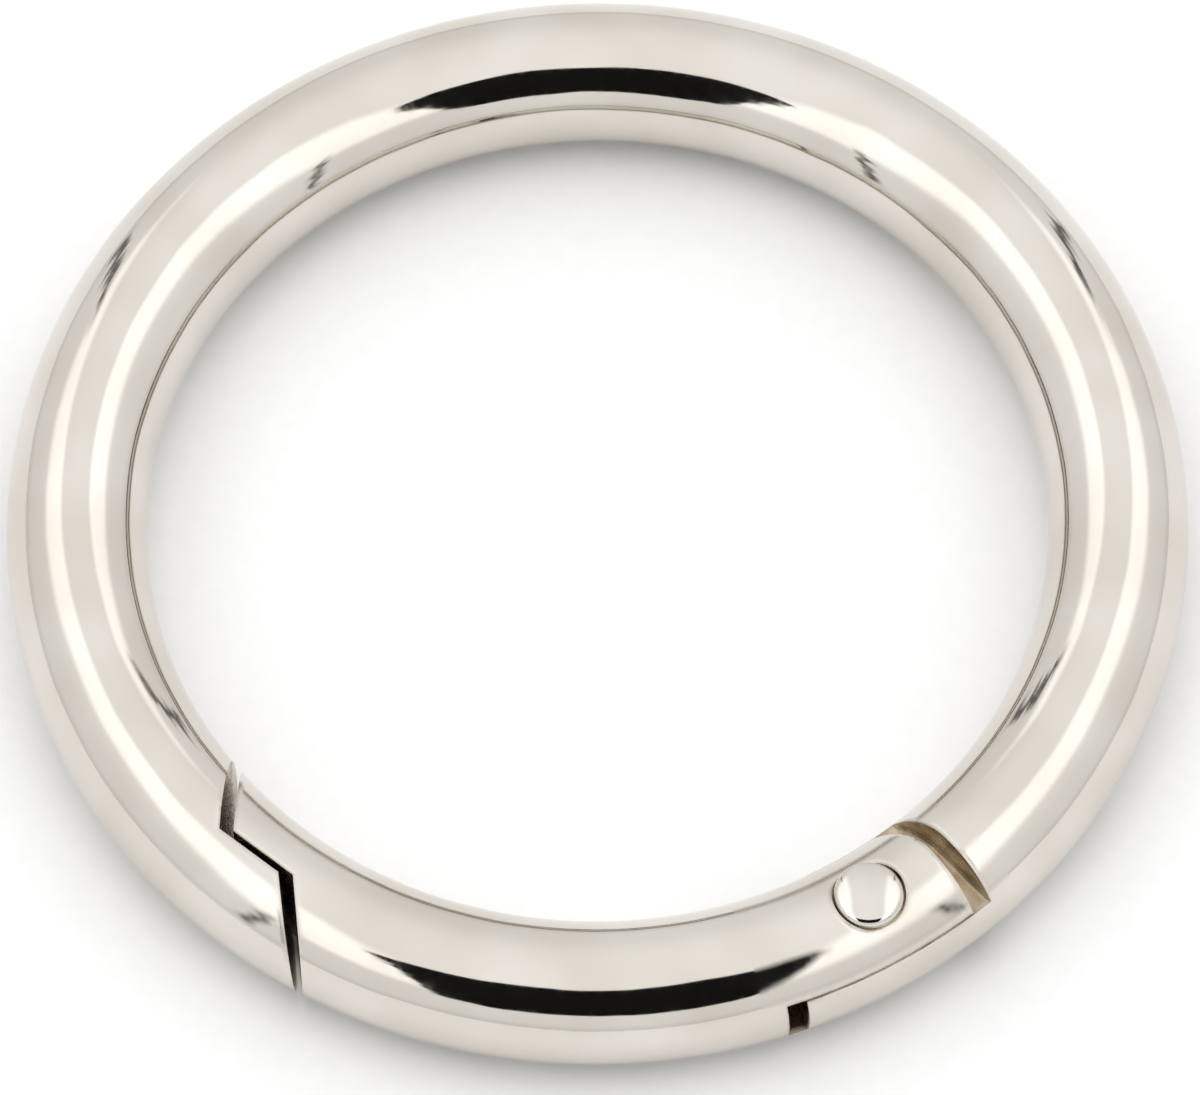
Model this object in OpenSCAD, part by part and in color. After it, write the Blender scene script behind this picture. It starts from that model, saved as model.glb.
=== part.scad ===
// Round spring gate ring: a polished cast ring that opens like a snap hook.
//
// A C-shaped ring is closed at the front by a curved gate. The gate is forked round a
// tongue of the ring and swings inwards on a rivet. A coil spring in a blind bore of the
// gate presses a pin onto the tongue and swings the gate shut again.
//
// Millimetres. The ring lies flat: its axis is X = 0, Y = 0 and its underside is Z = 0.
// Angles round the ring count from the front (-Y). They are positive towards the hinge
// (+X) and negative towards the latch (-X).

/* [Ring] */
// Clear diameter inside the closed ring
inner_d = 32; // [28:1:50]
// Diameter of the round section
section_d = 5; // [4.8:0.1:6]

/* [Latch] */
// Angle from the front to the middle of the latch
latch_angle = 40; // [34:1:46]
// Length of the land, where the nose of the gate lies behind the lip of the ring
land_length = 2.7; // [1.8:0.1:3.6]
// Gap between gate and ring along the land
land_gap = 0.25; // [0.1:0.05:0.5]
// Gap at the two end faces of the lap
end_gap = 0.5; // [0.3:0.05:0.8]
// Draft of the end faces, from the front-to-back direction in which the gate opens
end_draft = 4.5; // [0:0.5:8]

/* [Hinge] */
// Angle from the front to the rivet
hinge_angle = 30; // [26:1:36]
// Radius of the rounded end of the gate, about the rivet
knuckle_r = 2.75; // [2.6:0.05:3]
// Gap between the end of the gate and the shoulder of the ring
shoulder_gap = 0.7; // [0.4:0.05:1]
// Thickness of the tongue of the ring, between the two ears of the gate
tongue_t = 2.2; // [2:0.1:2.6]
// Clearance between the tongue and each ear
ear_clearance = 0.08; // [0.05:0.01:0.15]
// Distance from the rivet to the far end of the tongue
tongue_reach = 3.25; // [3:0.05:3.6]
// Gap between the end of the tongue and the end wall of the slot
slot_gap = 0.65; // [0.3:0.05:0.8]

/* [Rivet] */
// Diameter of the shank
shank_d = 1.7; // [1.4:0.1:1.9]
// Running clearance between the shank and the tongue, measured on the radius
shank_clearance = 0.05; // [0.02:0.01:0.1]
// Diameter of the heads
head_d = 2.3; // [2.2:0.1:2.8]
// Height of the cylindrical edge of the top head
head_edge = 0.25; // [0.15:0.05:0.3]
// Height of the dome on the top head
head_dome = 0.38; // [0.2:0.02:0.5]
// Height of the dome on the peened tail
tail_dome = 0.22; // [0.1:0.02:0.26]
// Depth of the seats of the heads, below the crown of the section
seat_depth = 0.35; // [0.28:0.01:0.45]
// Clearance round a head in its seat, measured on the radius
seat_clearance = 0.15; // [0.05:0.05:0.2]

/* [Spring and push pin] */
// Widest opening of the gate
open_angle = 45; // [30:1:48]
// Distance from the rivet axis to the line of the push pin
lever = 0.7; // [0.5:0.05:0.8]
// Diameter of the push pin
pin_d = 1.6; // [1.2:0.1:1.7]
// Sliding clearance of the pin in its bore, measured on the radius
pin_clearance = 0.05; // [0.03:0.01:0.1]
// Length of the push pin
pin_length = 3.6; // [3:0.1:4]
// Height of the rounded tip of the push pin
pin_tip = 0.3; // [0.2:0.05:0.4]
// Distance from the rivet axis to the cam face of the tongue, with the gate closed
cam_reach = 1.95; // [1.8:0.05:2.1]
// Clearance between the side of the push pin and the finger of the tongue
notch_clearance = 0.15; // [0.1:0.05:0.3]
// Distance from the rivet axis to the bottom of the spring bore
bore_reach = 9; // [8.5:0.1:10]
// Diameter of the spring wire
wire_d = 0.26; // [0.2:0.02:0.3]
// Radial clearance of the spring in its bore
spring_clearance = 0.06; // [0.04:0.01:0.1]
// Number of working turns between the two closed end turns
working_turns = 4; // [3:1:5]
// Gap left at each seat of the pin and the spring
seat_gap = 0.02; // [0.01:0.01:0.05]

/* [Hidden] */

nickel = [0.80, 0.77, 0.70];
steel = [0.72, 0.72, 0.71];
spring_steel = [0.55, 0.55, 0.56];

$fn = 96;
section_r = section_d / 2;
ring_r = inner_d / 2 + section_r;
mid_z = section_r;
// Reach of a cut, longer than the section is wide and well short of the ring's far side
cut = section_d * 1.5;

// The hinge, seen from above. The rivet stands on the centre line of the section.
pivot = [ring_r * sin(hinge_angle), -ring_r * cos(hinge_angle)];
shoulder_r = knuckle_r + shoulder_gap;
gate_end_angle = hinge_angle + asin(knuckle_r / ring_r);
shoulder_angle = hinge_angle + asin(shoulder_r / ring_r);
tongue_angle = hinge_angle - asin(tongue_reach / ring_r);
slot_reach = tongue_reach + slot_gap;
slot_angle = hinge_angle - asin(slot_reach / ring_r);
slot_h = tongue_t + 2 * ear_clearance;
crown_z = mid_z + section_r;
seat_r = head_d / 2 + seat_clearance;

// The push pin's line is tilted from the tangent at the rivet, so that its bore is as far
// from the centre line of the section at the slot as at its bottom.
pin_tilt = asin(((pow(slot_reach, 2) + pow(bore_reach, 2)) / (2 * ring_r) - 2 * lever)
                / (slot_reach + bore_reach));
bore_r = pin_d / 2 + pin_clearance;
pin_start = cam_reach + seat_gap;
pin_end = pin_start + pin_length;
// Offset from the rivet axis at which the notch for the pin ends beside the tongue's finger
notch_side = pin_d / 2 + notch_clearance - lever;
CAM_STEPS = 12;

spring_start = pin_end + seat_gap;
spring_end = bore_reach - seat_gap;
spring_r = bore_r - spring_clearance - wire_d / 2;
closed_pitch = wire_d * 1.1;
COIL_STEPS = 18;
COIL_SIDES = 8;

// The latch, in a frame on the centre line: X along the ring to the gate, Y to its middle.
gate_land = land_gap / 2;
ring_land = -land_gap / 2;
inner_face = [cos(90 - end_draft + latch_angle), sin(90 - end_draft + latch_angle)];
outer_face = [cos(end_draft - 90 + latch_angle), sin(end_draft - 90 + latch_angle)];
gate_inner = [-land_length / 2, gate_land];
gate_outer = [land_length / 2, gate_land];
ring_inner = on_land(gate_inner + end_gap * [-inner_face.y, inner_face.x], inner_face);
ring_outer = on_land(gate_outer + end_gap * [outer_face.y, -outer_face.x], outer_face);
lip_angle = latch_angle - (land_length + section_d) / ring_r * 180 / PI;
nose_angle = latch_angle + (land_length + section_d) / ring_r * 180 / PI;

// Where the line through p along u meets the land of the ring
function on_land(p, u) = p + u * (ring_land - p.y) / u.y;

// A stretch of the round section, from one angle round the ring to another
module ring_arc(from, to) {
    translate([0, 0, mid_z])
        rotate([0, 0, from - 90])
            rotate_extrude(angle = to - from)
                translate([ring_r, 0])
                    circle(r = section_r);
}

// Plan shapes at the hinge: X along the ring away from the gate, Y to its middle
module at_hinge(angle) {
    translate(pivot)
        rotate(angle)
            children();
}

// All that lies on the gate's side of a stepped line across the section, at the latch
module latch_side(inner, outer) {
    rotate(-latch_angle)
        translate([0, -ring_r])
            polygon([inner + cut * inner_face, inner, outer, outer + cut * outer_face,
                     [2 * ring_r, -cut], [2 * ring_r, 2 * ring_r]]);
}

// Room that the ears of the gate need beside the tongue
module ear_room() {
    at_hinge(0)
        circle(r = shoulder_r);
    at_hinge(shoulder_angle)
        translate([-cut, -cut])
            square([cut + shoulder_r, cut]);
    at_hinge(hinge_angle)
        translate([-cut, -cut])
            square([cut, 2 * cut]);
}

// Pieces on the line of the push pin: X runs from the rivet into the gate
module on_pin_line() {
    translate([pivot.x, pivot.y, mid_z])
        rotate([0, 0, hinge_angle - pin_tilt + 180])
            translate([0, -lever, 0])
                rotate([0, 90, 0])
                    children();
}

// Point of the cam after the gate has turned by t. The cam is an involute, so the pin
// slides by lever times the angle, in radians, and its tip stays on the pin's own line.
function cam_reach_at(t) = cam_reach + lever * t * PI / 180;
function cam_point(t) = [cam_reach_at(t) * cos(t) - lever * sin(t),
                         -cam_reach_at(t) * sin(t) - lever * cos(t)];

// Notch in the end of the tongue: the pin's side wall, the seat of the tip and the cam
module cam_notch() {
    last = cam_point(open_angle);
    at_hinge(hinge_angle - pin_tilt + 180)
        polygon(concat([[cut, notch_side], [cam_reach, notch_side]],
                       [for (i = [0:CAM_STEPS]) cam_point(open_angle * i / CAM_STEPS)],
                       [last - cut * [sin(open_angle), cos(open_angle)], [cut, -cut]]));
}

module body_ring() {
    color(nickel)
        difference() {
            ring_arc(tongue_angle, 360 - lip_angle);
            for (z = [mid_z + tongue_t / 2, mid_z - tongue_t / 2 - cut])
                translate([0, 0, z])
                    linear_extrude(cut)
                        ear_room();
            translate([0, 0, -cut])
                linear_extrude(section_d + 2 * cut) {
                    intersection() {
                        latch_side(ring_inner, ring_outer);
                        translate([-ring_r - cut, -ring_r - cut])
                            square([ring_r + cut, ring_r + cut]);
                    }
                    cam_notch();
                }
            translate([pivot.x, pivot.y, -cut])
                cylinder(r = shank_d / 2 + shank_clearance, h = section_d + 2 * cut);
        }
}

module gate() {
    color(nickel)
        difference() {
            intersection() {
                ring_arc(-nose_angle, gate_end_angle);
                translate([0, 0, -cut])
                    linear_extrude(section_d + 2 * cut)
                        latch_side(gate_inner, gate_outer);
            }
            // The inner corner of the fork is rounded about the rivet
            translate([0, 0, -cut])
                linear_extrude(section_d + 2 * cut)
                    at_hinge(gate_end_angle)
                        difference() {
                            square(cut);
                            circle(r = knuckle_r);
                        }
            // Slot for the tongue
            translate([0, 0, mid_z - slot_h / 2])
                linear_extrude(slot_h)
                    rotate(slot_angle)
                        translate([0, -ring_r - cut])
                            square(2 * cut);
            translate([pivot.x, pivot.y, -cut])
                cylinder(d = shank_d, h = section_d + 2 * cut);
            translate([pivot.x, pivot.y, crown_z - seat_depth])
                cylinder(r = seat_r, h = cut);
            translate([pivot.x, pivot.y, seat_depth - cut])
                cylinder(r = seat_r, h = cut);
            on_pin_line()
                cylinder(r = bore_r, h = bore_reach);
        }
}

// A shallow dome on a disc of diameter d
module dome(d, h) {
    ball_r = (pow(d / 2, 2) + pow(h, 2)) / (2 * h);
    intersection() {
        translate([0, 0, h - ball_r])
            sphere(r = ball_r);
        cylinder(d = d, h = h);
    }
}

module rivet() {
    color(steel)
        translate([pivot.x, pivot.y, 0]) {
            translate([0, 0, seat_depth])
                cylinder(d = shank_d, h = section_d - 2 * seat_depth);
            translate([0, 0, crown_z - seat_depth])
                cylinder(d = head_d, h = head_edge);
            translate([0, 0, crown_z - seat_depth + head_edge])
                dome(head_d, head_dome);
            translate([0, 0, seat_depth])
                mirror([0, 0, 1])
                    dome(head_d, tail_dome);
        }
}

module push_pin() {
    color(steel)
        on_pin_line() {
            translate([0, 0, pin_start + pin_tip])
                cylinder(d = pin_d, h = pin_length - pin_tip);
            translate([0, 0, pin_start + pin_tip])
                mirror([0, 0, 1])
                    dome(pin_d, pin_tip);
        }
}

// Height of the wire's centre after a number of turns, with one closed turn at each end
coil_turns = working_turns + 2;
coil_rise = spring_end - spring_start - wire_d;
working_pitch = (coil_rise - 2 * closed_pitch) / working_turns;
function coil_height(n) =
    n < 1 ? n * closed_pitch
    : n > coil_turns - 1 ? coil_rise - (coil_turns - n) * closed_pitch
    : closed_pitch + (n - 1) * working_pitch;

// Corner of the wire's section: turn n of the coil, at angle a round the wire
function wire_point(n, a) =
    let (r = spring_r + wire_d / 2 * cos(a))
        [r * cos(360 * n), r * sin(360 * n), coil_height(n) + wire_d / 2 * (1 + sin(a))];

module spring() {
    rings = coil_turns * COIL_STEPS;
    points = [for (i = [0:rings], k = [0:COIL_SIDES - 1])
                  wire_point(i / COIL_STEPS, 360 * k / COIL_SIDES)];
    sides = [for (i = [0:rings - 1], k = [0:COIL_SIDES - 1])
                 let (a = i * COIL_SIDES + k,
                      b = i * COIL_SIDES + (k + 1) % COIL_SIDES)
                     [a, a + COIL_SIDES, b + COIL_SIDES, b]];
    ends = [[for (k = [0:COIL_SIDES - 1]) k],
            [for (k = [COIL_SIDES - 1:-1:0]) rings * COIL_SIDES + k]];
    color(spring_steel)
        on_pin_line()
            translate([0, 0, spring_start])
                polyhedron(points, concat(sides, ends));
}

body_ring();
gate();
rivet();
push_pin();
spring();
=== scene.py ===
# %% [markdown]
# # A spring gate ring in polished nickel
#
# This is the round snap hook that joins a strap to a bag or a leash: a ring of round section, with a
# gate in its front that swings inwards and springs shut. Ring and gate are two zinc castings,
# polished and then plated with nickel.
#
# A circle swept along an arc would do for each of them, but their sections could then meet with a
# small step. Here both are cut from one torus. Cutting leaves uneven shading, and a mirror finish
# shows every facet, so both pieces get the torus's own normals back at the end.
#
# Pieces are modelled in millimetres and reduced to metres once they are done, because edit tools
# such as Merge by Distance work better on sizes near 1.

# %% Load the frame
import math

import bpy
from mathutils import Matrix, Vector


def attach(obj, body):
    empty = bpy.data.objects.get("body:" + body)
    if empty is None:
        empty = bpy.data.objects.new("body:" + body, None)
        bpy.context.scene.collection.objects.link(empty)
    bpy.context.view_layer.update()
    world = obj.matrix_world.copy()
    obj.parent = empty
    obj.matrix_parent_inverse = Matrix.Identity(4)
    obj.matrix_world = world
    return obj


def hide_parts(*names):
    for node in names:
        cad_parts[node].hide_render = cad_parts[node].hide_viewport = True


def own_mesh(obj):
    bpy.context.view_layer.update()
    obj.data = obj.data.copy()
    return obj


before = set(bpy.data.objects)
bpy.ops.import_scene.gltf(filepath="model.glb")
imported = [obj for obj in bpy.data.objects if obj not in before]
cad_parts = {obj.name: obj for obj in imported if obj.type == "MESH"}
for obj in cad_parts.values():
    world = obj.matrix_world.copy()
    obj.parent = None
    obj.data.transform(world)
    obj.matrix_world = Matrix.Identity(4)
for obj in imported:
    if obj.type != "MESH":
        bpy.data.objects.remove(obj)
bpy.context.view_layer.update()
print("nodes:", sorted(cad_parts))

# %% [markdown]
# ## Sizes, in millimetres
#
# These are the sizes of the solids that the pieces take the place of. Angles go round the ring from
# its front, in degrees, with the hinge on the positive side and the latch on the negative side.

# %% Ring, latch and hinge
RING_R = 18.5            # centre line of the section
SECTION_R = 2.5
MID_Z = SECTION_R
CROWN_Z = 2 * SECTION_R

LATCH = 40.0
LAND_LENGTH = 2.7        # the land is the middle of the step, where nose and lip face each other
LAND_GAP = 0.25
END_GAP = 0.5
END_DRAFT = 4.5          # degrees off square, so that the end faces part as the gate swings in

HINGE = 30.0
KNUCKLE_R = 2.75         # the gate's round end, about the rivet
SHOULDER_R = 3.45        # the ring's face opposite it
TONGUE_T = 2.2
SLOT_H = 2.36
TONGUE_REACH = 3.25
SLOT_REACH = 3.9
print("ring", 2 * (RING_R + SECTION_R), "mm across, clear", 2 * (RING_R - SECTION_R))

# %% Rivet, push pin and spring
SHANK_R = 0.85
SHANK_PLAY = 0.05        # in the tongue only: the ears hold the rivet tight
HEAD_R = 1.24            # leaves 0.06 mm to the rim of its seat
HEAD_EDGE = 0.25
HEAD_DOME = 0.38
TAIL_DOME = 0.22
SEAT_R = 1.3
SEAT_DEPTH = 0.35

OPEN = 45.0              # widest opening of the gate, in degrees
LEVER = 0.7              # from the rivet's axis to the push pin's line
CAM_REACH = 1.95
PIN_TILT = 5.3388
PIN_R = 0.8
PIN_PLAY = 0.15
PIN_START, PIN_END, PIN_TIP = 1.97, 5.57, 0.3
BORE_R = 0.85
BORE_REACH = 9.0
SPRING_START, SPRING_END = 5.59, 8.98
WIRE_R = 0.13
SPRING_R = 0.66
print("push pin", round(PIN_END - PIN_START, 2), "mm long, spring", round(SPRING_END - SPRING_START, 2))

# %% Sizes that only this model has
DRAFT = 0.08             # lean of the ring's cast end faces, in mm for each mm of height
EDGE = 0.3               # rounding that polishing leaves on an edge, made in the material

# %% Points outside the section, where cutters may end
FAR = 7.5                # longer than the section is wide
BELOW, ABOVE = -5, 10    # heights
INSIDE, OUTSIDE = 8, 30  # distances from the ring's axis


# %% Places on the ring
def on_ring(angle, radius=RING_R):
    a = math.radians(angle)
    return Vector((radius * math.sin(a), -radius * math.cos(a)))


def turned(point, angle):
    c, s = math.cos(math.radians(angle)), math.sin(math.radians(angle))
    return Vector((c * point[0] - s * point[1], s * point[0] + c * point[1]))


def angle_of(reach):
    """The angle round the ring that a straight length across its centre line takes up."""
    return math.degrees(math.asin(reach / RING_R))


PIVOT = on_ring(HINGE)
PIN_WAY = -turned((1, 0), HINGE - PIN_TILT)
PIN_FOOT = PIVOT + turned((0, LEVER), HINGE - PIN_TILT)
print("rivet at", tuple(round(v, 3) for v in PIVOT), "pin runs along", tuple(round(v, 4) for v in PIN_WAY))

# %% [markdown]
# ## Cutting tools
#
# The flat faces of the castings come from the die, the bore and the rivet's seats from drills. Bisect
# could cut the ring too, but only along one plane at a time. A boolean takes away a whole outline
# at once and leaves a closed body, as long as its cutter is closed too. There are two cutters: a
# prism over a plan outline, and a round drum.
#
# An operator acts on all that is selected, so `work_on` selects one piece and nothing else.

# %% Select and name
def work_on(obj):
    bpy.ops.object.select_all(action="DESELECT")
    obj.select_set(True)
    bpy.context.view_layer.objects.active = obj


def named(name):
    obj = bpy.context.object
    obj.name = obj.data.name = name
    return obj


# %% Prism
def prism(points, low, high, top=None):
    """A solid over a plan outline, with straight sides unless its top has an outline of its own."""
    bpy.ops.mesh.primitive_circle_add(vertices=len(points), radius=1, fill_type="NGON")
    obj = named("cutter")
    for vertex, point in zip(obj.data.vertices, points):
        vertex.co = (point[0], point[1], low)
    bpy.ops.object.mode_set(mode="EDIT")
    bpy.ops.mesh.select_all(action="SELECT")
    bpy.ops.mesh.extrude_region_move(TRANSFORM_OT_translate={"value": (0, 0, high - low)})
    bpy.ops.mesh.select_all(action="SELECT")
    bpy.ops.mesh.normals_make_consistent(inside=False)
    bpy.ops.object.mode_set(mode="OBJECT")
    for vertex, point in zip(obj.data.vertices[len(points):], top or points):
        vertex.co = (point[0], point[1], high)
    return obj


# %% Drum
DRUM_SIDES = 48


def drum(radius, start, end):
    """A round cutter between two points."""
    start, end = Vector(start), Vector(end)
    bpy.ops.mesh.primitive_cylinder_add(vertices=DRUM_SIDES, radius=radius, depth=(end - start).length)
    obj = named("cutter")
    turn = (end - start).to_track_quat("Z", "Y").to_matrix().to_4x4()
    obj.data.transform(Matrix.Translation((start + end) / 2) @ turn)
    return obj


# %% Cut with either
def carve(obj, tool, operation="DIFFERENCE"):
    work_on(obj)
    step = obj.modifiers.new("carve", "BOOLEAN")
    step.operation, step.object, step.solver = operation, tool, "EXACT"
    bpy.ops.object.modifier_apply(modifier=step.name)
    bpy.data.objects.remove(tool, do_unlink=True)


# %% Stock to cut from
STEPS_ROUND, STEPS_SECTION = 288, 72


def stock(name):
    """The whole ring, before anything is cut."""
    bpy.ops.mesh.primitive_torus_add(major_segments=STEPS_ROUND, minor_segments=STEPS_SECTION,
                                     major_radius=RING_R, minor_radius=SECTION_R,
                                     location=(0, 0, MID_Z))
    bpy.ops.object.transform_apply(location=True, rotation=False, scale=False)
    return named(name)


# %% [markdown]
# ## The latch in plan
#
# On the real ring both pieces end in a step: the gate's nose lies inside the ring's lip, so the gate
# can only open inwards. The step could be extruded face by face. One bent line is simpler, because
# it serves both pieces: the gate is kept up to the line, and the ring is cut along a copy of it that
# is moved by the gaps. It is drawn from the middle of the step, with X along the ring.

# %% The bent line
def latch_point(x, y):
    return turned((x, y - RING_R), -LATCH)


def way_at(angle):
    return Vector((math.cos(math.radians(angle)), math.sin(math.radians(angle))))


inner_way = way_at(LATCH + 90 - END_DRAFT)
outer_way = way_at(LATCH - 90 + END_DRAFT)
gate_inner = Vector((-LAND_LENGTH / 2, LAND_GAP / 2))
gate_outer = Vector((LAND_LENGTH / 2, LAND_GAP / 2))


def step_line(inner, outer):
    """From outside the ring, over the step, to inside it."""
    return [latch_point(*(outer + FAR * outer_way)), latch_point(*outer),
            latch_point(*inner), latch_point(*(inner + FAR * inner_way))]


print("step of the gate:", [tuple(round(v, 2) for v in p) for p in step_line(gate_inner, gate_outer)])


# %% The ring's copy of it
def on_land(point, way):
    """Moves a point along its end face until it meets the ring's side of the land."""
    return point + way * (-LAND_GAP / 2 - point.y) / way.y


def ring_step(height):
    """The end faces lean in downwards from the crown, so no light falls through the gap."""
    gap = END_GAP + DRAFT * (height - CROWN_Z)
    inner = on_land(gate_inner + gap * Vector((-inner_way.y, inner_way.x)), inner_way)
    outer = on_land(gate_outer + gap * Vector((outer_way.y, -outer_way.x)), outer_way)
    return step_line(inner, outer)


# %% [markdown]
# ## The hinge in plan
#
# The gate's end is round about the rivet, and the ring's shoulder follows it at a distance, so the
# gate turns without a corner striking the ring. Inside, a flat tongue of the ring runs on between
# the gate's two ears. Outlines here are points about the rivet, turned to where they cut.

# %% Outlines about the rivet
def at_hinge(angle, points):
    return [PIVOT + turned(p, angle) for p in points]


def arc(radius, start, end, steps=24):
    angles = [math.radians(start + (end - start) * i / steps) for i in range(steps + 1)]
    return [(radius * math.cos(a), radius * math.sin(a)) for a in angles]


def front(angle_from, angle_to, steps=6):
    """Points well outside the ring, from one angle round the front to another."""
    return [on_ring(angle_from + (angle_to - angle_from) * i / steps, OUTSIDE)
            for i in range(steps + 1)]


gate_end = HINGE + angle_of(KNUCKLE_R)
shoulder = HINGE + angle_of(SHOULDER_R)
tongue_end = HINGE - angle_of(TONGUE_REACH)
slot_end = HINGE - angle_of(SLOT_REACH)
print("gate ends at %.2f degrees, shoulder %.2f" % (gate_end, shoulder))
print("tongue ends at %.2f degrees, slot %.2f" % (tongue_end, slot_end))

# %% [markdown]
# ## The ring
#
# The real one is cast whole, tongue and all. Here its front is opened first, from the latch to the
# tongue's end, and the tongue is what two flat cuts leave, one above it and one below. The room for
# the ears is an arc about the rivet on the inside. On the outside it is a straight face, because the
# ears never turn past it.

# %% Open the front
body_ring = stock("body_ring_polished")
# Outside the ring the cutter may end a few degrees sooner or later, as nothing is there to cut
rest_of_opening = ([on_ring(tongue_end, INSIDE), on_ring(tongue_end, OUTSIDE)]
                   + front(tongue_end - 4, -LATCH + 6))
opening = prism(ring_step(BELOW) + rest_of_opening, BELOW, ABOVE, ring_step(ABOVE) + rest_of_opening)
carve(body_ring, opening)
print("open ring:", len(body_ring.data.polygons), "faces")

# %% Leave the tongue
ears = (at_hinge(shoulder, [(SHOULDER_R, -FAR)])
        + at_hinge(shoulder, arc(SHOULDER_R, 0, 90 - (shoulder - HINGE)))
        + at_hinge(HINGE, [(-FAR, SHOULDER_R), (-FAR, -FAR)]))
carve(body_ring, prism(ears, MID_Z + TONGUE_T / 2, ABOVE))
carve(body_ring, prism(ears, BELOW, MID_Z - TONGUE_T / 2))
print("ring with its tongue:", len(body_ring.data.polygons), "faces")

# %% [markdown]
# The tongue's end is a cam. As the gate opens, it presses the push pin back into the gate and so
# loads the spring. Its curve is an involute, the line that the end of a taut thread draws as it
# unwinds from a drum. That keeps the force in line with the pin at every angle.

# %% Cam and rivet hole
CAM_STEPS = 12


def cam_point(t):
    reach, a = CAM_REACH + LEVER * math.radians(t), math.radians(t)
    return (reach * math.cos(a) - LEVER * math.sin(a), -reach * math.sin(a) - LEVER * math.cos(a))


side = PIN_R + PIN_PLAY - LEVER
cam = [cam_point(OPEN * i / CAM_STEPS) for i in range(CAM_STEPS + 1)]
away = math.radians(OPEN)
last = (cam[-1][0] - FAR * math.sin(away), cam[-1][1] - FAR * math.cos(away))
notch = at_hinge(HINGE - PIN_TILT + 180, [(FAR, side), (CAM_REACH, side)] + cam + [last, (FAR, -FAR)])
carve(body_ring, prism(notch, BELOW, ABOVE))
carve(body_ring, drum(SHANK_R + SHANK_PLAY, (*PIVOT, BELOW), (*PIVOT, ABOVE)))
print("ring:", len(body_ring.data.polygons), "faces")

# %% [markdown]
# ## The gate
#
# The gate is what the ring leaves open, less the clearances, so it is kept from the same stock by an
# intersection. Its fork, the rivet's two seats and hole, and the blind bore for spring and pin are
# cut after that, as they would be milled and drilled.

# %% Outline
gate = stock("gate_polished")
outline = (step_line(gate_inner, gate_outer)
           + at_hinge(gate_end, [(0, FAR)] + arc(KNUCKLE_R, 90, 0) + [(KNUCKLE_R, -FAR)])
           + front(gate_end - 6, -LATCH + 8))
carve(gate, prism(outline, BELOW, ABOVE), "INTERSECT")
print("blank of the gate:", len(gate.data.polygons), "faces")

# %% Fork, seats, hole and bore
near, beyond = -RING_R + FAR, -RING_R - FAR
fork = [turned(p, slot_end) for p in ((0, beyond), (2 * FAR, beyond), (2 * FAR, near), (0, near))]
carve(gate, prism(fork, MID_Z - SLOT_H / 2, MID_Z + SLOT_H / 2))
carve(gate, drum(SEAT_R, (*PIVOT, CROWN_Z - SEAT_DEPTH), (*PIVOT, ABOVE)))
carve(gate, drum(SEAT_R, (*PIVOT, BELOW), (*PIVOT, SEAT_DEPTH)))
carve(gate, drum(SHANK_R, (*PIVOT, BELOW), (*PIVOT, ABOVE)))
carve(gate, drum(BORE_R, (*PIN_FOOT, MID_Z), (*(PIN_FOOT + BORE_REACH * PIN_WAY), MID_Z)))
print("gate:", len(gate.data.polygons), "faces")

# %% [markdown]
# ## Skin and cut faces
#
# A polishing wheel reaches the round outside of a casting and not its slots. So each face is sorted:
# skin lies on the torus, and the rest is cut. It could be picked by hand in edit mode, but these
# meshes are made anew each run. Cutting leaves slivers whose own direction means little, so a face
# counts as skin by where its corners lie and, unless it is tiny, by where it faces.

# %% Tell skin from cut
TOUCH = 0.008            # mm: nearer than this, two corners are one, or a corner is on the torus
SLIVER = 0.002           # square mm
FACING = 0.9             # cosine of about 26 degrees


def skin_way(co):
    """The torus's own normal at a point."""
    out = Vector((co.x, co.y, 0))
    way = out.normalized() * (out.length - RING_R)
    way.z = co.z - MID_Z
    return way.normalized()


def skin_gap(co):
    return abs(math.hypot(math.hypot(co.x, co.y) - RING_R, co.z - MID_Z) - SECTION_R)


def is_skin(mesh, face):
    if any(skin_gap(mesh.vertices[i].co) > TOUCH for i in face.vertices):
        return False
    return face.area < SLIVER or skin_way(face.center).dot(face.normal) > FACING


# %% Merge what cutting left double
for piece in (body_ring, gate):
    work_on(piece)
    bpy.ops.object.mode_set(mode="EDIT")
    bpy.ops.mesh.select_all(action="SELECT")
    bpy.ops.mesh.remove_doubles(threshold=TOUCH)
    bpy.ops.object.mode_set(mode="OBJECT")
    skins = sum(is_skin(piece.data, face) for face in piece.data.polygons)
    print(piece.name, skins, "skin faces,", len(piece.data.polygons) - skins, "cut")

# %% [markdown]
# ## Normals of the torus
#
# Smooth shading averages the faces round a corner, and long slivers pull that average aside, which
# a mirror shows as a dent. But the skin's true direction is known at every point: it leads away from
# the middle of the section. So each corner of the skin is given that as a custom normal. On cut
# faces it is the average of the faces there that point almost the same way, the larger ones first.
#
# The skin next to the latch and the hinge gets a material of its own, as only it has edges to round.

# %% Which finish a face gets
LATCH_SIDE, HINGE_SIDE = 9, 3    # degrees of skin beside the cuts that count as next to them
EDGE_ZONES = ((-LATCH - LATCH_SIDE, -LATCH + LATCH_SIDE), (slot_end - HINGE_SIDE, shoulder + HINGE_SIDE))
SKIN, CUT, RIM = 0, 1, 2


def finish_of(face, on_skin):
    if not on_skin:
        # Cut faces, in the slots and gaps, get the dull nickel whose colour carries painted shade
        return CUT
    angle = math.degrees(math.atan2(face.center.x, -face.center.y))
    return RIM if any(low < angle < high for low, high in EDGE_ZONES) else SKIN


# %% Set the normals
ALIKE = 0.82             # cosine of about 35 degrees


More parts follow.
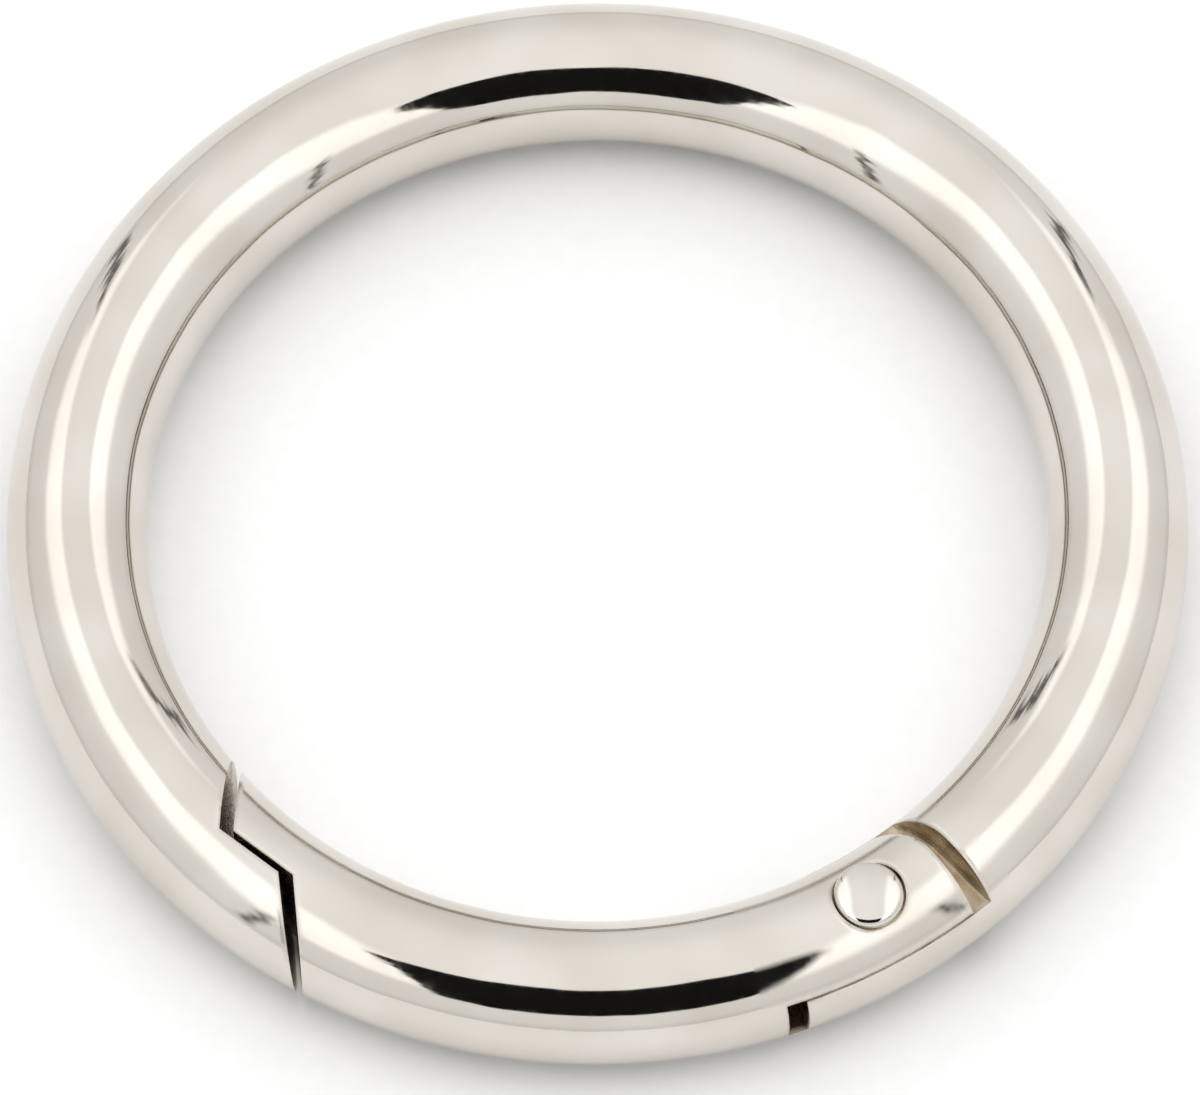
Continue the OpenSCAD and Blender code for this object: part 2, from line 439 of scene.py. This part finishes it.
def polish(obj, skin=True):
    """Gives every corner its normal and every face its finish."""
    mesh = obj.data
    on_skin = [skin and is_skin(mesh, face) for face in mesh.polygons]
    around = [[] for _ in mesh.vertices]
    for face in mesh.polygons:
        if not on_skin[face.index]:
            for index in face.vertices:
                around[index].append((face.normal.copy(), face.area))
    normals = []
    for face in mesh.polygons:
        for index in face.vertices:
            if on_skin[face.index]:
                normals.append(skin_way(mesh.vertices[index].co))
            else:
                total = Vector()
                for way, area in around[index]:
                    if way.dot(face.normal) > ALIKE:
                        total += way * area
                normals.append((total if total.length > 0 else face.normal).normalized())
        face.material_index = finish_of(face, on_skin[face.index]) if skin else SKIN
        face.use_smooth = True
    mesh.normals_split_custom_set(normals)


def to_metres(obj):
    obj.data.transform(Matrix.Scale(0.001, 4))


for piece in (body_ring, gate):
    polish(piece)
    to_metres(piece)
    finishes = [face.material_index for face in piece.data.polygons]
    print(piece.name, [finishes.count(kind) for kind in (SKIN, CUT, RIM)], "faces of skin, cut, rim")

# %% [markdown]
# ## The rivet
#
# The rivet is a turned pin with a domed head, pressed in from above and peened over below. A
# cylinder with bevels would come close, but a turned part is all in its profile: half of that is
# drawn and spun round its axis, as on a lathe.

# %% Turn a part
WELD = 0.0005            # mm: points as near as this are one


def turned_part(name, profile, steps=64):
    """Spins a profile of (radius, height) points round Z. It begins and ends on the axis."""
    bpy.ops.mesh.primitive_circle_add(vertices=len(profile), radius=1, fill_type="NOTHING")
    obj = named(name)
    for vertex, (radius, height) in zip(obj.data.vertices, profile):
        vertex.co = (radius, 0, height)
    bpy.ops.object.mode_set(mode="EDIT")
    bpy.ops.mesh.select_all(action="DESELECT")
    bpy.ops.object.mode_set(mode="OBJECT")
    ends = {0, len(profile) - 1}
    for edge in obj.data.edges:
        edge.select = set(edge.vertices) == ends
    bpy.ops.object.mode_set(mode="EDIT")
    bpy.ops.mesh.select_mode(type="EDGE")
    bpy.ops.mesh.delete(type="EDGE")
    bpy.ops.mesh.select_all(action="SELECT")
    bpy.ops.mesh.spin(steps=steps, angle=math.tau, center=(0, 0, 0), axis=(0, 0, 1))
    bpy.ops.mesh.select_all(action="SELECT")
    bpy.ops.mesh.remove_doubles(threshold=WELD)
    bpy.ops.mesh.normals_make_consistent(inside=False)
    bpy.ops.object.mode_set(mode="OBJECT")
    return obj


# %% Head and tail
HEAD_CROWN = 0.25        # how much of the dome's height its shallow middle takes
HEAD_RIM = 24            # a high power: the dome stays shallow and then drops steeply at its rim
HEAD_STEPS = 48


def dome_line(radius, height, steps=10):
    """From the axis down to the rim of a shallow dome, as (radius, drop) points."""
    ball = (radius ** 2 + height ** 2) / (2 * height)
    top = math.asin(radius / ball)
    return [(ball * math.sin(top * i / steps), ball * (1 - math.cos(top * i / steps)))
            for i in range(steps + 1)]


under_head = CROWN_Z - SEAT_DEPTH
head_top = under_head + HEAD_EDGE + HEAD_DOME
dome = [(HEAD_R * t, head_top - HEAD_CROWN * t ** 2 - (HEAD_DOME - HEAD_CROWN) * t ** HEAD_RIM)
        for t in (i / HEAD_STEPS for i in range(HEAD_STEPS + 1))]
tail = [(r, SEAT_DEPTH - TAIL_DOME + drop) for r, drop in dome_line(HEAD_R, TAIL_DOME)]
shank = [(HEAD_R, under_head), (SHANK_R, under_head), (SHANK_R, SEAT_DEPTH)]
rivet = turned_part("rivet_polished", dome + shank + tail[::-1])
rivet.data.transform(Matrix.Translation((*PIVOT, 0)))
print("rivet: top at %.2f mm, head %.2f mm wide" % (head_top, 2 * HEAD_R))

# %% [markdown]
# ## The push pin
#
# The pin slides in the gate's bore and rides on the cam, out of sight. It is turned as well, with a
# shallow dome that rubs on the cam and a small round at its other end, where the spring sits. It is
# turned upright and then laid along its bore.

# %% Round a corner of a profile
PIN_ROUND = 0.1


def rounded(profile, index, radius, steps=4):
    """Replaces one corner of a profile by a small curve."""
    before, corner, after = (Vector(profile[i]) for i in (index - 1, index, index + 1))
    start = corner + (before - corner).normalized() * radius
    end = corner + (after - corner).normalized() * radius
    curve = [tuple(start * (1 - t) ** 2 + corner * 2 * t * (1 - t) + end * t ** 2)
             for t in (i / steps for i in range(steps + 1))]
    return profile[:index] + curve + profile[index + 1:]


# %% Turn the pin and lay it down
tip = [(r, PIN_START + drop) for r, drop in dome_line(PIN_R, PIN_TIP)]
pin_profile = rounded(tip + [(PIN_R, PIN_END), (0, PIN_END)], len(tip), PIN_ROUND)
push_pin = turned_part("push_pin_bright", pin_profile, steps=40)
lay = Vector((*PIN_WAY, 0)).to_track_quat("Z", "Y").to_matrix().to_4x4()
push_pin.data.transform(Matrix.Translation((*PIN_FOOT, MID_Z)) @ lay)

for piece in (rivet, push_pin):
    polish(piece, skin=False)
    to_metres(piece)
    print(piece.name, len(piece.data.polygons), "faces")

# %% [markdown]
# ## The spring
#
# A compression spring has a closed turn at each end, so that it stands square, and open turns
# between. A Screw modifier winds one even pitch only. A curve with a round section follows any
# heights, so it is drawn as the wire is wound and then made a mesh.

# %% Heights along the wire
CLOSED = 2 * WIRE_R * 1.1        # closed turns lie a tenth of a wire apart
CLIMB = SPRING_END - SPRING_START - 2 * WIRE_R
OPEN_TURNS = 4
TURNS = OPEN_TURNS + 2
TURN_STEPS = 24


def coil_height(n):
    """Height of the wire's middle after n turns."""
    if n < 1:
        return n * CLOSED
    if n > TURNS - 1:
        return CLIMB - (TURNS - n) * CLOSED
    return CLOSED + (n - 1) * (CLIMB - 2 * CLOSED) / OPEN_TURNS


print("open turns are", round((CLIMB - 2 * CLOSED) / OPEN_TURNS, 2), "mm apart")

# %% Wind it
bpy.ops.curve.primitive_bezier_curve_add()
spring = named("spring_coil")
spring.data.splines.clear()
line = spring.data.splines.new("POLY")
line.points.add(TURNS * TURN_STEPS)
for i, point in enumerate(line.points):
    turn = math.tau * i / TURN_STEPS
    point.co = (SPRING_R * math.cos(turn), SPRING_R * math.sin(turn),
                SPRING_START + WIRE_R + coil_height(i / TURN_STEPS), 1)
spring.data.dimensions = "3D"
spring.data.bevel_depth = WIRE_R
spring.data.bevel_resolution = 3
spring.data.use_fill_caps = True
print(TURNS, "turns of", 2 * WIRE_R, "mm wire")

# %% Make it a mesh and close its ends
work_on(spring)
bpy.ops.object.convert(target="MESH")
spring = named("spring_coil")
bpy.ops.object.mode_set(mode="EDIT")
bpy.ops.mesh.select_all(action="SELECT")
bpy.ops.mesh.remove_doubles(threshold=WELD)
bpy.ops.mesh.normals_make_consistent(inside=False)
bpy.ops.object.mode_set(mode="OBJECT")
spring.data.transform(Matrix.Translation((*PIN_FOOT, MID_Z)) @ lay)
to_metres(spring)
# The wire is smooth all along and has sharp edges only where it is cut off
bpy.ops.object.shade_smooth_by_angle(angle=math.radians(40))
print("spring:", len(spring.data.polygons), "faces")

# %% [markdown]
# ## Finishes
#
# Colours are written as they look on a screen, and Blender works in linear light, so one function
# turns them. The other one adds a node with its settings and links.

# %% Colours and nodes
def linear(text):
    """A colour such as #dcd7cf, by the sRGB standard's own curve."""
    channels = [int(text[i:i + 2], 16) / 255 for i in (1, 3, 5)]
    return [c / 12.92 if c <= 0.04045 else ((c + 0.055) / 1.055) ** 2.4 for c in channels] + [1]


def add_node(tree, kind, values=(), **settings):
    """Adds a node, sets its options, and fills or links the inputs given by name."""
    node = tree.nodes.new(kind)
    for key, value in settings.items():
        setattr(node, key, value)
    for key, value in dict(values).items():
        if isinstance(value, bpy.types.NodeSocket):
            tree.links.new(value, node.inputs[key])
        else:
            node.inputs[key].default_value = value
    return node


# %% [markdown]
# ### Bright metal
#
# All five pieces are bright metal. Two things make it look real: slow swells, left by casting and by
# hand polishing, which bend the reflections, and a fine grain, which blurs them a little. A noise
# texture of Scale 1 has swells about a metre long, so swells of so many mm have a Scale of 1000 over
# that. Metallic is 1, the colour is the metal's reflectance, and the IOR stays at its default.
#
# Edges are rounded in the material. A Bevel modifier shrank to nothing on the slivers that cutting
# leaves, while the Bevel node only turns the normal near an edge, which then catches the light.

# %% One recipe for bright metal
SWELL_DETAIL = 1.5       # of the noise: low, so that swells stay smooth
GRAIN_DETAIL = 3.0


def bright_metal(name, light, dark, rough, swell_mm, swell_depth_mm, grain_mm, grain_depth_mm, edge_mm=0.0):
    """Swells tint it from dark to light and bend it, and grain blurs it from sharp to dull."""
    material = bpy.data.materials.new(name)
    material.use_nodes = True
    tree = material.node_tree
    shader = tree.nodes["Principled BSDF"]
    place = add_node(tree, "ShaderNodeTexCoord").outputs["Object"]
    swell = add_node(tree, "ShaderNodeTexNoise",
                     {"Vector": place, "Scale": 1000 / swell_mm, "Detail": SWELL_DETAIL}).outputs["Fac"]
    grain = add_node(tree, "ShaderNodeTexNoise",
                     {"Vector": place, "Scale": 1000 / grain_mm, "Detail": GRAIN_DETAIL}).outputs["Fac"]
    # Noise keeps near its middle, so ramp and range take its middle part only
    tone = add_node(tree, "ShaderNodeValToRGB", {"Fac": swell})
    for stop, position, tint in zip(tone.color_ramp.elements, (0.35, 0.65), (dark, light)):
        stop.position, stop.color = position, linear(tint)
    blur = add_node(tree, "ShaderNodeMapRange", {"Value": grain, "From Min": 0.35, "From Max": 0.7,
                                                 "To Min": rough[0], "To Max": rough[1]})
    wavy = add_node(tree, "ShaderNodeBump", {"Height": swell, "Strength": 1.0,
                                             "Distance": swell_depth_mm / 1000})
    if edge_mm:
        edge = add_node(tree, "ShaderNodeBevel", {"Radius": edge_mm / 1000}, samples=4)
        tree.links.new(edge.outputs["Normal"], wavy.inputs["Normal"])
    fine = add_node(tree, "ShaderNodeBump", {"Height": grain, "Strength": 1.0,
                                             "Distance": grain_depth_mm / 1000,
                                             "Normal": wavy.outputs["Normal"]})
    shader.inputs["Metallic"].default_value = 1.0
    tree.links.new(tone.outputs["Color"], shader.inputs["Base Color"])
    tree.links.new(blur.outputs["Result"], shader.inputs["Roughness"])
    tree.links.new(fine.outputs["Normal"], shader.inputs["Normal"])
    print(name, "made")
    return material


# %% Nickel plate
# Bright nickel on a polished zinc casting: to the eye a warm mirror in slow swells. A polishing
# wheel's own grain is too fine to show, so it is drawn 0.35 mm coarse and very shallow.
PLATE = dict(light="#dcd7cf", dark="#d2ccc2", rough=(0.04, 0.09),
             swell_mm=4.5, swell_depth_mm=0.06, grain_mm=0.35, grain_depth_mm=0.0002)
nickel = bright_metal("polished_nickel_plate", **PLATE)
nickel_rim = bright_metal("polished_nickel_plate_rims", **PLATE, edge_mm=EDGE)

# Nickel on a face as cast, in the slots and gaps. No wheel reaches it, so it is dull beside the mirror.
# Its darker, browner colour is painted shade, standing for the shade that falls in these slots and gaps.
dull_recess_painted_shade = bright_metal("unpolished_nickel_recess_painted_shade", light="#cbbda6", dark="#94836c", rough=(0.22, 0.38),
                      swell_mm=1.2, swell_depth_mm=0.004, grain_mm=0.2, grain_depth_mm=0.0015,
                      edge_mm=EDGE)

# Nickel on a turned steel rivet: the same mirror, a little softer, in small swells
rivet_nickel = bright_metal("rivet_nickel_plate", light="#dbd7d0", dark="#d2cdc4", rough=(0.06, 0.12),
                            swell_mm=1.5, swell_depth_mm=0.004, grain_mm=0.25, grain_depth_mm=0.0002)

# %% Steel
# Ground steel, a neutral grey whose fine scratches, drawn 0.15 mm coarse, spread its highlights
ground_steel = bright_metal("ground_steel", light="#cfceca", dark="#bdbbb6", rough=(0.16, 0.28),
                            swell_mm=2.0, swell_depth_mm=0.002, grain_mm=0.15, grain_depth_mm=0.0006)

# Spring wire pulled through a die, which leaves a darker grey with a dull sheen
spring_wire = bright_metal("drawn_spring_wire", light="#b4b2ad", dark="#97948e", rough=(0.22, 0.36),
                           swell_mm=1.0, swell_depth_mm=0.002, grain_mm=0.1, grain_depth_mm=0.0006)

# %% Give each piece its finish, its body and the node it takes the place of
FINISH = ((body_ring, nickel, "body_ring", "ring", "nickel_plate"),
          (gate, nickel, "gate", "gate", "nickel_plate"),
          (rivet, rivet_nickel, "rivet", "gate", "rivet_nickel"),
          (push_pin, ground_steel, "push_pin", "pin", "pin_steel"),
          (spring, spring_wire, "spring", "gate", "spring_steel"))
for piece, material, node, body, slot in FINISH:
    piece.data.materials.append(material)
    if piece in (body_ring, gate):
        # Cut faces take the second finish: dull nickel with painted shade in its colour
        piece.data.materials.append(dull_recess_painted_shade)
        piece.data.materials.append(nickel_rim)
    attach(piece, body)
    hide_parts(node)
    print(piece.name, "rides on", body)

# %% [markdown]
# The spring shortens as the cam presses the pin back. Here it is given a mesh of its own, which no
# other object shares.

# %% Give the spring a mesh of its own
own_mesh(spring)

# %% [markdown]
# ## The floor
#
# The hook lies on a sheet of white paper: matt, without a sheen, and never quite even. It is a little
# short of white, so that it takes a shadow and still has room above it.

# %% Paper floor
FIBRE_MM = 2 / 3         # clumps of fibre, as single fibres are too fine to show
FLOOR_SIZE = 3.0         # metres, far wider than any view of the ring
MATT = 0.9               # roughness of uncoated paper

bpy.ops.mesh.primitive_plane_add(size=FLOOR_SIZE, location=(0, 0, 0))
floor = named("floor")
paper = bpy.data.materials.new("white_paper_sweep")
paper.use_nodes = True
tree = paper.node_tree
place = add_node(tree, "ShaderNodeTexCoord").outputs["Object"]
fibre = add_node(tree, "ShaderNodeTexNoise", {"Vector": place, "Scale": 1000 / FIBRE_MM, "Detail": 2.0})
tone = add_node(tree, "ShaderNodeValToRGB", {"Fac": fibre.outputs["Fac"]})
for stop, tint in zip(tone.color_ramp.elements, ("#f5f5f5", "#fafafa")):
    stop.color = linear(tint)
tree.links.new(tone.outputs["Color"], tree.nodes["Principled BSDF"].inputs["Base Color"])
tree.nodes["Principled BSDF"].inputs["Roughness"].default_value = MATT
floor.data.materials.append(paper)
print("floor of", paper.name)

# %% [markdown]
# ## The tent
#
# A mirror shows what stands round it, so here that matters more than the lamp. Small bright metal is
# set in a white tent: bright above, greyer low on its walls, with an opening at the front and a dark
# seam in each of its four corners. Real walls would cast shadows and take time. So the world paints
# the tent by direction, on a ball of radius 1 round the ring: X to the right, Y to the back, Z up.

# %% World, directions and walls
world = bpy.data.worlds.new("white_tent")
bpy.context.scene.world = world
world.use_nodes = True
# Sampling a world like a lamp pays off for small bright spots. This one is even and does without.
world.cycles.sampling_method = "NONE"
tree = world.node_tree
backdrop = tree.nodes["Background"]
way = add_node(tree, "ShaderNodeTexCoord").outputs["Generated"]
unit = add_node(tree, "ShaderNodeVectorMath", {0: way}, operation="NORMALIZE").outputs["Vector"]
xyz = add_node(tree, "ShaderNodeSeparateXYZ", {"Vector": unit})
walls = add_node(tree, "ShaderNodeValToRGB", {"Fac": xyz.outputs["Z"]})
stops = walls.color_ramp.elements
# The height on the ball, level with the ring at 0 and overhead at 1, and the tent's grey there
stops[0].position, stops[0].color = 0.0, linear("#c7c7c7")
stops[1].position, stops[1].color = 1.0, linear("#eeeeee")
for position, tint in ((0.15, "#d8d8d8"), (0.45, "#dcdcdc"), (0.8, "#eaeaea")):
    stops.new(position).color = linear(tint)
print("walls in", len(stops), "greys")

# %% [markdown]
# The places in the tent are sums of X, Y and Z, a few dozen nodes in all. They are written as tables.
# Each row makes one node: the name of its result, what the node does, and the two values that go in,
# by name or as a number. RISE and FALL are Map Range nodes, soft steps up or down between two
# values. All others are Math nodes.

# %% The opening, an uneven oval from high up down towards the front
LEAN = math.radians(42)          # of the oval's middle from straight up
OPENING = (
    ("across", "DIVIDE", "x", 0.4),              # half its width
    ("part y", "MULTIPLY", "y", math.cos(LEAN)),
    ("part z", "MULTIPLY", "z", math.sin(LEAN)),
    ("along", "ADD", "part y", "part z"),
    ("along", "DIVIDE", "along", 0.36),          # half its length
    ("across", "ABSOLUTE", "across", 0.0),
    ("across", "POWER", "across", 7.0),          # a power of 2 is round, higher ones are squarer
    ("along", "ABSOLUTE", "along", 0.0),
    ("along", "POWER", "along", 4.0),
    ("oval", "ADD", "across", "along"),
    ("torn", "MULTIPLY", "ragged", 0.7),         # its edge isn't even
    ("oval", "ADD", "oval", "torn"),
    ("oval", "FALL", "oval", (1.2, 1.4)),
    ("this side", "RISE", "towards it", (0.5, 0.6)),
    ("opening", "MULTIPLY", "oval", "this side"))

# %% The seams, upright lines at the corners, between the floor and the roof
SEAMS = (
    ("behind", "GREATER_THAN", "y", 0.0),
    ("nearer", "MULTIPLY", "behind", 0.68),      # the two corners behind stand closer together
    ("spread", "SUBTRACT", 1.38, "nearer"),
    ("side", "ABSOLUTE", "x", 0.0),
    ("depth", "ABSOLUTE", "y", 0.0),
    ("depth", "MULTIPLY", "depth", "spread"),
    ("corner", "SUBTRACT", "side", "depth"),
    ("waver", "SUBTRACT", "ragged", 0.5),        # cloth hangs in folds
    ("waver", "MULTIPLY", "waver", 0.16),
    ("corner", "ADD", "corner", "waver"),
    ("corner", "ABSOLUTE", "corner", 0.0),
    ("seam", "FALL", "corner", (0.01, 0.045)),
    ("off floor", "RISE", "z", (0.04, 0.14)),
    ("below roof", "FALL", "z", (0.5, 0.66)),
    ("upright", "MULTIPLY", "off floor", "below roof"),
    ("seam", "MULTIPLY", "seam", "upright"),
    ("seam", "MULTIPLY", "seam", 0.85))          # some light comes through

# %% Two soft boxes, left and right overhead, for the pair of bright bands along the ring
BOXES = (
    ("past middle", "RISE", "side", (0.3, 0.4)),
    ("this side of wall", "FALL", "side", (0.64, 0.76)),
    ("box", "MULTIPLY", "past middle", "this side of wall"),
    ("high", "RISE", "z", (0.5, 0.62)),
    ("box", "MULTIPLY", "box", "high"),
    ("box", "MULTIPLY", "box", 0.42),            # brighter than the roof by this share
    ("lit", "ADD", "box", 1.0))

# %% How strong the light is from each direction
STRENGTH = (
    ("dark", "MAXIMUM", "opening", "seam"),
    ("bright", "SUBTRACT", 1.0, "dark"),
    ("power", "MULTIPLY", "lit", "bright"),
    ("power", "MULTIPLY", "power", 1.34),        # the tent as a whole
    ("power", "ADD", "power", 0.012))            # the opening isn't quite black

# %% Make the nodes
# Folds of cloth, about a twelfth of the ball's radius wide, with small creases in them
ragged = add_node(tree, "ShaderNodeTexNoise", {"Vector": unit, "Scale": 12.0, "Detail": 5.0})
towards = add_node(tree, "ShaderNodeVectorMath", {0: unit, 1: (0, -math.sin(LEAN), math.cos(LEAN))},
                   operation="DOT_PRODUCT")
known = {"x": xyz.outputs["X"], "y": xyz.outputs["Y"], "z": xyz.outputs["Z"],
         "ragged": ragged.outputs["Fac"], "towards it": towards.outputs["Value"]}
STEPS = {"RISE": (0.0, 1.0), "FALL": (1.0, 0.0)}
for name, action, one, two in OPENING + SEAMS + BOXES + STRENGTH:
    if action in STEPS:
        before, after = STEPS[action]
        node = add_node(tree, "ShaderNodeMapRange",
                        {"Value": known[one], "From Min": two[0], "From Max": two[1],
                         "To Min": before, "To Max": after}, interpolation_type="SMOOTHSTEP")
    else:
        node = add_node(tree, "ShaderNodeMath", {0: known.get(one, one), 1: known.get(two, two)},
                        operation=action)
    known[name] = node.outputs[0]
tree.links.new(walls.outputs["Color"], backdrop.inputs["Color"])
tree.links.new(known["power"], backdrop.inputs["Strength"])
print("tent of", len(tree.nodes), "nodes")

# %% Plain white for what is seen past the floor's edge
seen = add_node(tree, "ShaderNodeLightPath").outputs["Is Camera Ray"]
white = add_node(tree, "ShaderNodeBackground", {"Color": (1, 1, 1, 1), "Strength": 1.0})
plain = add_node(tree, "ShaderNodeMixShader", {0: seen, 1: backdrop.outputs["Background"],
                                               2: white.outputs["Background"]})
tree.links.new(plain.outputs["Shader"], tree.nodes["World Output"].inputs["Surface"])

# %% [markdown]
# ## The lamp
#
# One large round lamp above gives the floor its soft shadow. It stays out of the reflections, where
# the tent already shows the light.

# %% Roof light
lamp_data = bpy.data.lights.new("roof_light", "AREA")
lamp_data.shape, lamp_data.size = "DISK", 0.5
lamp_data.energy = 0.75          # watts
lamp = bpy.data.objects.new("roof_light", lamp_data)
lamp.location = (0.0, -0.05, 0.7)
lamp.visible_glossy = False
bpy.context.collection.objects.link(lamp)
print("lamp", lamp_data.size, "m wide,", lamp.location.z, "m up")

# %% [markdown]
# ## Camera
#
# A long lens from 62 degrees above, which keeps the far side of the ring nearly as large as the near
# one. It is aimed a little off the ring's middle and leans very slightly.

# %% Stand, aim and lens
ELEVATION = math.radians(62.15)
DISTANCE = 0.4418                # metres from the middle of the ring
ROLL = -0.0149                   # radians
AIM = (0.0000981, -0.0008532)    # metres to the right of the ring's middle, and above it

centre = Vector((0, 0, MID_Z / 1000))
stand = centre + DISTANCE * Vector((0, -math.cos(ELEVATION), math.sin(ELEVATION)))
look = (centre - stand).normalized()
right = Vector((1, 0, 0))
up = right.cross(look)
right, up = (math.cos(ROLL) * right + math.sin(ROLL) * up, math.cos(ROLL) * up - math.sin(ROLL) * right)
look = (centre + AIM[0] * right + AIM[1] * up - stand).normalized()
right = look.cross(up).normalized()
up = right.cross(look)

camera_data = bpy.data.cameras.new("camera")
camera_data.sensor_fit = "HORIZONTAL"
camera_data.sensor_width = 36.0
camera_data.lens = 372.93
camera = bpy.data.objects.new("camera", camera_data)
camera.matrix_world = Matrix.Translation(stand) @ Matrix((right, up, -look)).transposed().to_4x4()
bpy.context.collection.objects.link(camera)
bpy.context.scene.camera = camera
bpy.context.scene.view_settings.view_transform = "Standard"
print("camera", round(DISTANCE, 3), "m away")
